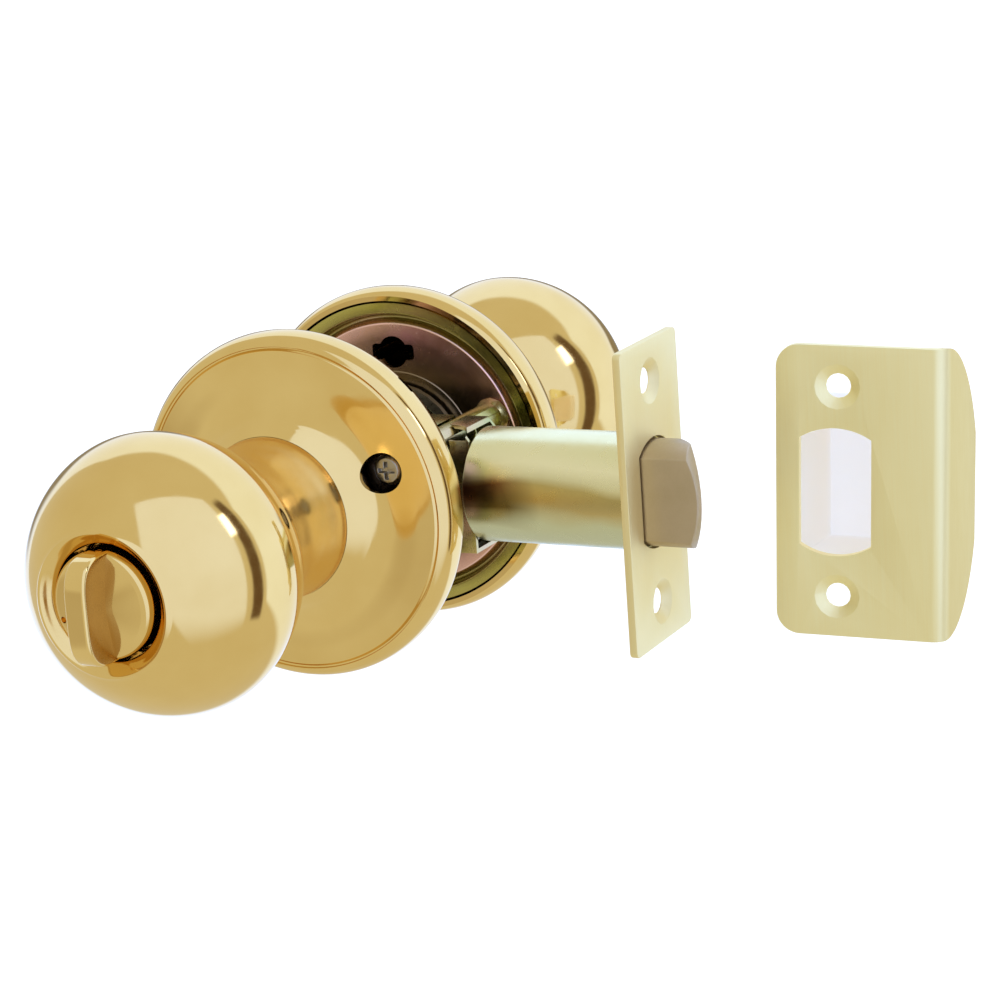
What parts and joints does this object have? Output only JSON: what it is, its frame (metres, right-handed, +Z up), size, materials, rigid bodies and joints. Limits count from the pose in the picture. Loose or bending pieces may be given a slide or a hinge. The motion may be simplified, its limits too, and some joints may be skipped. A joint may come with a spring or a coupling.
{
  "type": "door knob",
  "caption": "Tubular privacy door knobset: two round knobs on roses, turn button, spring latch with faceplate, and a lipped strike plate with dust box.",
  "frame": {"origin": "where the spindle axis crosses the latch axis, in the middle of the door", "axes": "+X towards the door's edge along the latch axis, +Y along the spindle from the inside knob (turn button) to the outside knob, +Z up"},
  "size_m": [0.1436, 0.1904, 0.0698],
  "materials": {
    "polished_brass": "mirror-polished and lacquered",
    "satin_brass": "satin, finely brushed along its height",
    "yellow_zinc": "yellow-passivated zinc with green and pink iridescence",
    "steel": "plain zinc-plated",
    "bolt_metal": "satin, cast",
    "dust_plastic": "matte moulded"
  },
  "bodies": {
    "fixed": {"inside_rose": "polished_brass", "inside_rose_liner": "yellow_zinc", "inside_return_spring": "steel", "outside_rose": "polished_brass", "outside_rose_liner": "yellow_zinc", "outside_return_spring": "steel", "mounting_screw_1": "steel", "mounting_screw_2": "steel", "screw_post_1": "yellow_zinc", "screw_post_2": "yellow_zinc", "latch_case": "yellow_zinc", "case_rivet_1": "steel", "case_rivet_2": "steel", "latch_tube": "yellow_zinc", "latch_faceplate": "satin_brass", "strike_plate": "satin_brass", "strike_dust_box": "dust_plastic"},
    "inside_knob": {"inside_knob_neck": "polished_brass", "inside_knob_shell": "polished_brass", "inside_knob_shank": "yellow_zinc", "inside_retaining_ring": "steel"},
    "outside_knob": {"outside_knob_neck": "polished_brass", "outside_knob_shell": "polished_brass", "outside_knob_shank": "yellow_zinc", "outside_retaining_ring": "steel", "spindle": "steel"},
    "button": {"turn_button": "polished_brass", "locking_blade": "steel"},
    "hub": {"latch_hub": "steel"},
    "retractor": {"latch_retractor": "steel", "bolt_spring": "steel"},
    "bolt": {"latch_bolt": "bolt_metal"}
  },
  "joints": [
    {"name": "inside_knob_turn", "type": "hinge", "parent": "fixed", "child": "inside_knob", "pos_m": [0, -0.024, 0], "axis": [0, 1, 0], "range_deg": [0, 72], "stiffness_Nm_per_rad": 0.12},
    {"name": "outside_knob_turn", "type": "hinge", "parent": "fixed", "child": "outside_knob", "pos_m": [0, 0.024, 0], "axis": [0, 1, 0], "range_deg": [0, 72]},
    {"name": "hub_turn", "type": "hinge", "parent": "fixed", "child": "hub", "pos_m": [0, 0, 0], "axis": [0, 1, 0], "range_deg": [0, 72]},
    {"name": "retractor_slide", "type": "slide", "parent": "fixed", "child": "retractor", "axis": [-1, 0, 0], "range_m": [0, 0.01082]},
    {"name": "bolt_slide", "type": "slide", "parent": "retractor", "child": "bolt", "axis": [-1, 0, 0], "range_m": [0, 0.0108], "stiffness_N_per_m": 150, "springref_m": -0.006, "deforming": ["bolt_spring"]},
    {"name": "turn_button_turn", "type": "hinge", "parent": "inside_knob", "child": "button", "pos_m": [0, -0.085, 0], "axis": [0, 1, 0], "range_deg": [0, 90]}
  ],
  "couplings": [
    {"joint": "outside_knob_turn", "follows": "inside_knob_turn", "ratio": 1},
    {"joint": "hub_turn", "follows": "inside_knob_turn", "ratio": 1},
    {"joint": "retractor_slide", "follows": "inside_knob_turn", "m_per_rad": 0.0086}
  ]
}
